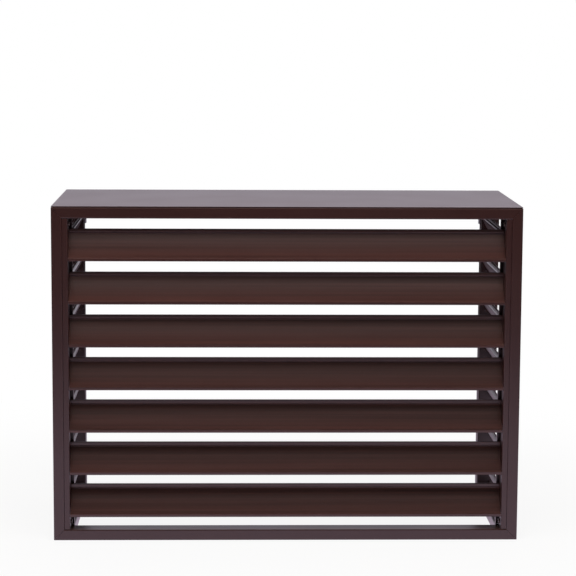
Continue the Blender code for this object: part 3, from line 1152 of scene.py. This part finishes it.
@dataclass(frozen=True)
class PhotoCamera:
    """Camera at the photograph's viewing angle."""

    place: tuple[float, float, float] = (-0.1102, -4.2980, 1.0739)
    yaw: float = math.radians(1.5587)
    pitch: float = math.radians(7.6681)
    roll: float = math.radians(0.3042)
    focal_px: float = 2049.75
    sensor_mm: float = 36.0

    def build(self) -> None:
        """Makes the camera and hands it to the scene."""
        data = bpy.data.cameras.new("photo_camera")
        data.sensor_width = self.sensor_mm
        data.lens = self.focal_px / IMAGE_SIDE_PX * self.sensor_mm
        camera = bpy.data.objects.new("photo_camera", data)
        bpy.context.scene.collection.objects.link(camera)
        look = Matrix.Rotation(-self.yaw, 4, "Z") @ Matrix.Rotation(math.pi / 2 - self.pitch, 4, "X")
        camera.matrix_world = Matrix.Translation(self.place) @ look @ Matrix.Rotation(self.roll, 4, "Z")
        bpy.context.scene.camera = camera


@dataclass(frozen=True)
class Lamp:
    """Rectangular studio lamp that the camera doesn't see.

    It lights the surfaces softly, or else it shows as a slightly warm gleam
    in their gloss.
    """

    name: str
    place: tuple[float, float, float]
    target: tuple[float, float, float]
    size: tuple[float, float]
    power: float
    gleams: bool = False
    spread: float = math.pi

    def hang(self) -> None:
        """Hangs the lamp and turns it to its target."""
        data = bpy.data.lights.new(self.name, "AREA")
        data.shape = "RECTANGLE"
        data.size, data.size_y = self.size
        data.energy = self.power
        if self.gleams:
            data.color = linear(GLEAM_TINT)[:3]
        data.spread = self.spread
        lamp = bpy.data.objects.new(self.name, data)
        lamp.location = self.place
        aim = Vector(self.target) - Vector(self.place)
        lamp.rotation_euler = aim.to_track_quat("-Z", "Y").to_euler()
        lamp.visible_camera = False
        lamp.visible_glossy = self.gleams
        lamp.visible_diffuse = not self.gleams
        bpy.context.scene.collection.objects.link(lamp)


LAMPS = (
    Lamp("soft_box", (0, -1.3, 2.4), (0, -0.2, 0.35), (2.4, 1.0), 32.5),
    Lamp("soft_box_near", (0, -0.5, 1.2), (0, -0.5, 0), (2.4, 0.5), 7.0),
    Lamp("fill_behind", (0, 2.2, 1.6), (0, 0, 0.35), (3.0, 1.6), 30.0),
    Lamp("fill_left", (-2.6, 0.3, 1.5), (-0.3, 0, 0.35), (2.0, 1.6), 14.0),
    Lamp("fill_right", (2.6, 0.3, 1.5), (0.3, 0, 0.35), (2.0, 1.6), 14.0),
    Lamp("gleam_front", (0, -1.75, 1.85), (0, -0.2, 0.5), (2.4, 0.8), 3.5, gleams=True),
    Lamp("gleam_above", (0, -0.28, 1.3), (0, -0.28, 0), (2.4, 0.25), 1.3, gleams=True),
    Lamp(
        "gleam_near", (0, -0.36, 0.8), (0, -0.2, 0.61), (2.4, 0.2), 0.1, gleams=True,
        spread=math.radians(60)),
)


@dataclass
class Studio:
    """White board floor, white surroundings and lamps, mostly over the front.

    Gloss sees the gleam lamps, the board near the screen, the white wall
    behind and a dark room at the front. The board is dimmer towards the back,
    and the wall towards its top.
    """

    floor_radius: float = 9.0
    floor_segments: int = 96
    board_colour: str = "#d2d0ce"
    shade_range: tuple[float, float] = (0.525, 1.5)
    shade_share: float = 0.12
    board_range: tuple[float, float] = (1.3, 2.9)
    board_level: float = 1.38
    board_far_level: float = 0.02
    rear_range: tuple[float, float] = (-0.25, 0.15)
    board_rear_share: float = 0.40
    board_tint: str = "#fce8ff"
    horizon_level: float = 0.22
    zenith_level: float = 0.50
    room_level: float = 0.070
    wall_range: tuple[float, float] = (0.0, 0.5)
    wall_level: float = 1.04
    wall_top_range: tuple[float, float] = (0.1, 0.3)
    wall_top_share: float = 0.38
    wall_tint: str = "#f7f0ff"

    def build(self) -> None:
        """Builds the floor, the surroundings and the lamps."""
        self.lay_floor()
        self.paint_surroundings()
        for lamp in LAMPS:
            lamp.hang()

    def lay_floor(self) -> None:
        """Lays a round pale floor."""
        shape = bmesh.new()
        bmesh.ops.create_circle(
            shape, cap_ends=True, segments=self.floor_segments, radius=self.floor_radius)
        mesh = bpy.data.meshes.new("studio_floor")
        shape.to_mesh(mesh)
        shape.free()
        mesh.materials.append(self.floor_material())
        floor = bpy.data.objects.new("studio_floor", mesh)
        bpy.context.scene.collection.objects.link(floor)

    def floor_material(self) -> Material:
        """White board with a faint shadow, which gloss sees bright near the screen.

        Returns:
            The finished material.
        """
        material, tree = empty_material("white_studio_board")
        path = add_node(tree, "LightPath")
        place = add_node(tree, "TexCoord").outputs["Object"]
        distance = add_node(tree, "VectorMath", {0: place}, operation="LENGTH").outputs["Value"]
        depth = add_node(tree, "SeparateXYZ", {0: place}).outputs["Y"]
        shade = remap(tree, distance, self.shade_range, (self.shade_share, 0.0), smooth=True)
        levels = (self.board_level, self.board_far_level)
        near = remap(tree, distance, self.board_range, levels, smooth=True)
        rear = remap(tree, depth, self.rear_range, (1.0, self.board_rear_share), smooth=True)
        board = add_node(tree, "BsdfDiffuse", {"Color": linear(self.board_colour)})
        white = add_node(tree, "Emission", {"Color": linear(WHITE), "Strength": 1.0})
        gleam = add_node(tree, "Emission", {
            "Color": linear(self.board_tint), "Strength": multiply(tree, near, rear)})
        shown = add_node(tree, "MixShader", {0: shade, 1: white.outputs[0], 2: board.outputs[0]})
        direct = add_node(tree, "MixShader", {
            0: self.clear_view(tree, path), 1: board.outputs[0], 2: shown.outputs[0]})
        surface = add_node(tree, "MixShader", {
            0: path.outputs["Is Glossy Ray"], 1: direct.outputs[0], 2: gleam.outputs[0]})
        add_node(tree, "OutputMaterial", {"Surface": surface.outputs[0]})
        return material

    def clear_view(self, tree: Tree, path: bpy.types.Node) -> Socket:
        """Marks rays from the camera, also those through a clear material.

        Args:
            tree: node tree that gets the node.
            path: its light path node.

        Returns:
            The socket, one for such a ray and zero for others.
        """
        return add_node(tree, "Math", {
            0: path.outputs["Is Camera Ray"], 1: path.outputs["Is Transmission Ray"]},
            operation="MAXIMUM").outputs[0]

    def paint_surroundings(self) -> None:
        """White world that lights from above, with a wall behind and a dark room at the front."""
        world = bpy.data.worlds.new("studio_surroundings")
        world.use_nodes = True
        tree = world.node_tree
        tree.nodes.clear()
        path = add_node(tree, "LightPath")
        glossy = path.outputs["Is Glossy Ray"]
        place = add_node(tree, "TexCoord").outputs["Generated"]
        direction = add_node(tree, "SeparateXYZ", {0: place}).outputs
        soft = remap(tree, direction["Z"], WHOLE, (self.horizon_level, self.zenith_level))
        levels = (self.room_level, self.wall_level)
        wall = remap(tree, direction["Y"], self.wall_range, levels, smooth=True)
        shares = (1.0, self.wall_top_share)
        upper = remap(tree, direction["Z"], self.wall_top_range, shares, smooth=True)
        unseen = mix_values(tree, glossy, soft, multiply(tree, wall, upper))
        background = add_node(tree, "Background", {
            "Color": mix_colours(tree, glossy, WHITE, self.wall_tint),
            "Strength": mix_values(tree, self.clear_view(tree, path), unseen, 1.0)})
        add_node(tree, "OutputWorld", {"Surface": background.outputs[0]})
        bpy.context.scene.world = world


def make_finishes() -> dict[Slot, Material]:
    """Makes the material of every slot.

    Returns:
        The materials by slot.
    """
    return {
        Slot.LID: PowderCoat(
            "satin_brown_powder_coat_lid", "#2e1915", "#321c17", roughness_spread=0.02).material(),
        Slot.FRAME: PowderCoat("satin_brown_powder_coat_frame", "#2d1714", "#311916").material(),
        Slot.BLADE: PowderCoat(
            "satin_brown_powder_coat_blade", "#351b17", "#391e19", line_share=0.32).material(),
        Slot.BOLT: PaintedSteel().material(),
        Slot.ALUMINIUM: MillAluminium().material(),
        Slot.NYLON: MouldedNylon().material(),
    }


def main() -> None:
    """Builds the screen, the studio and the camera in order."""
    logging.basicConfig(level=logging.INFO, format="%(name)s: %(message)s")
    bpy.context.scene.view_settings.view_transform = "Standard"
    PhotoCamera().build()
    Studio().build()
    bench = Bench(make_finishes())
    Lid(bench).build()
    FrontFrame(bench).build()
    SideFrame(bench).build()
    for side, blade_stem, channels in PANELS:
        LouvrePanel(bench, side, blade_stem, channels).build()
    ChannelBolts(bench).build()
    LOG.info("%d pieces made", len(bench.made))


if __name__ == "__main__":
    main()
